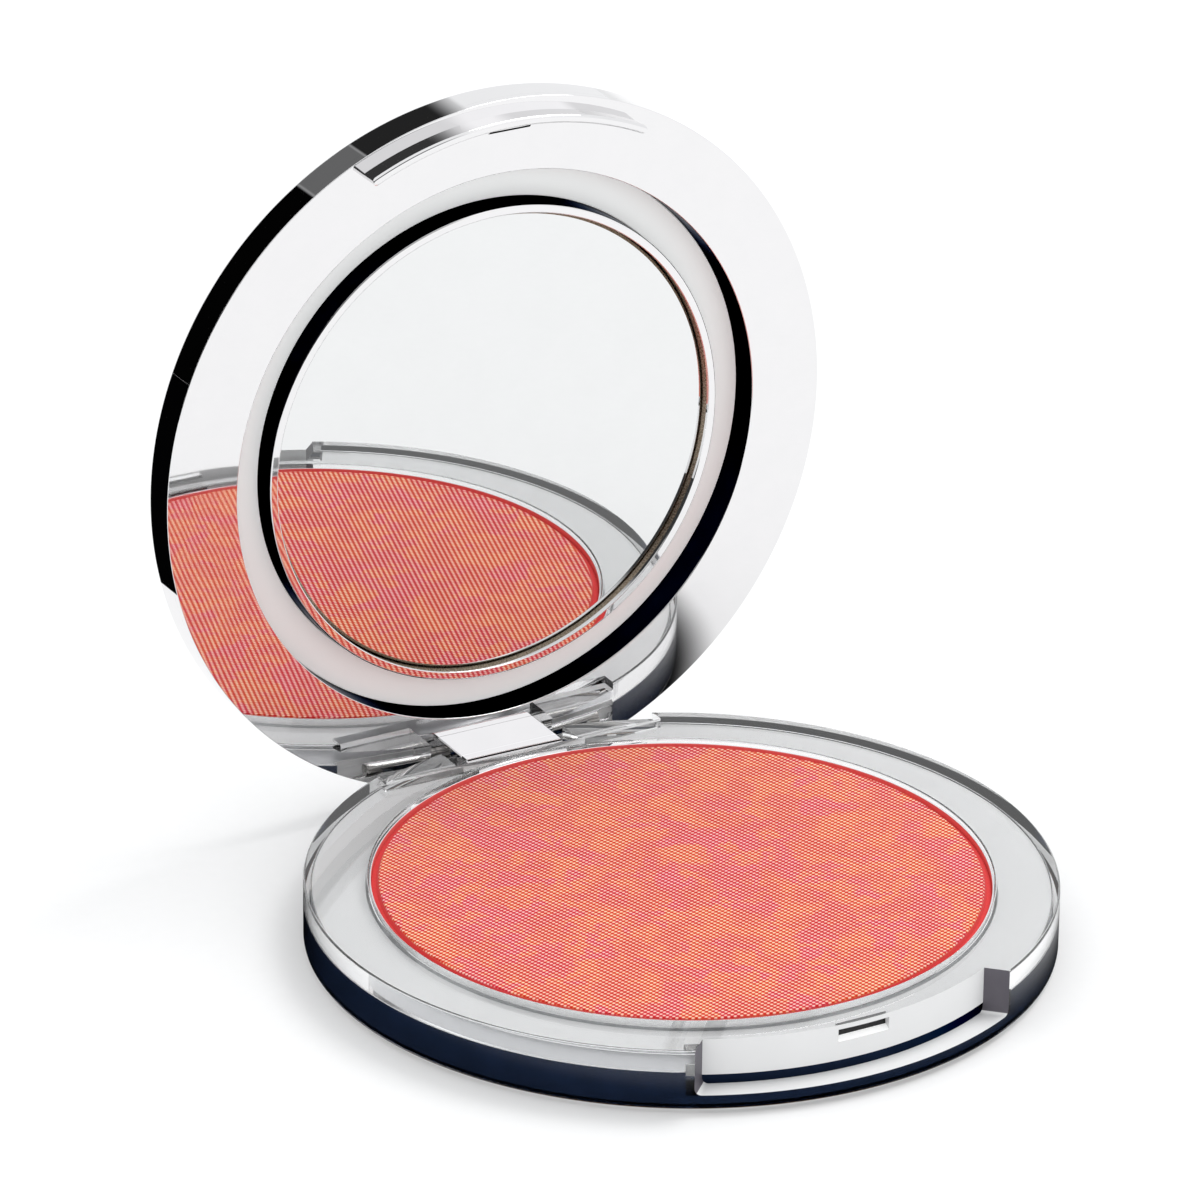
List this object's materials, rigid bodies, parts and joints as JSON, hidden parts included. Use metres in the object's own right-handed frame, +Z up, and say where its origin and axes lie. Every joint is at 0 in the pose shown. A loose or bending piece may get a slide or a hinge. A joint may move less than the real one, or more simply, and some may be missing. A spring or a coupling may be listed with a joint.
{
  "type": "powder compact",
  "caption": "Round pressed-powder compact with a clear base over a chrome shell and a hinged chrome lid that holds a mirror.",
  "frame": {"origin": "centre of the base's flat underside, which is the face the compact stands on", "axes": "+Z up out of the base, +Y towards the hinge, -Y towards the latch, +X to the right seen from the latch"},
  "size_m": [0.074, 0.0798, 0.0749],
  "materials": {
    "clear_plastic": "polished clear moulding",
    "chrome_base": "chrome-plated plastic",
    "chrome_lid": "chrome-plated plastic",
    "satin_silver": "satin",
    "pan_metal": "drawn sheet metal",
    "powder": "pressed powder, matt, marbled coral, pink and orange",
    "steel": "ground",
    "mirror": "silvered glass",
    "adhesive": "double-sided foam tape"
  },
  "bodies": {
    "base": {"base_body": "clear_plastic", "base_shell": "chrome_base", "pan_adhesive": "adhesive", "powder_pan": "pan_metal", "powder_cake": "powder", "hinge_pin": "steel"},
    "lid": {"lid_frame": "chrome_lid", "lid_cover": "chrome_lid", "groove_ring": "satin_silver", "mirror_glass": "mirror", "mirror_adhesive": "adhesive"}
  },
  "joints": [
    {"name": "lid_hinge", "type": "hinge", "parent": "base", "child": "lid", "pos_m": [0, 0.0342, 0.00365], "axis": [1, 0, 0], "range_deg": [0, 90]}
  ]
}
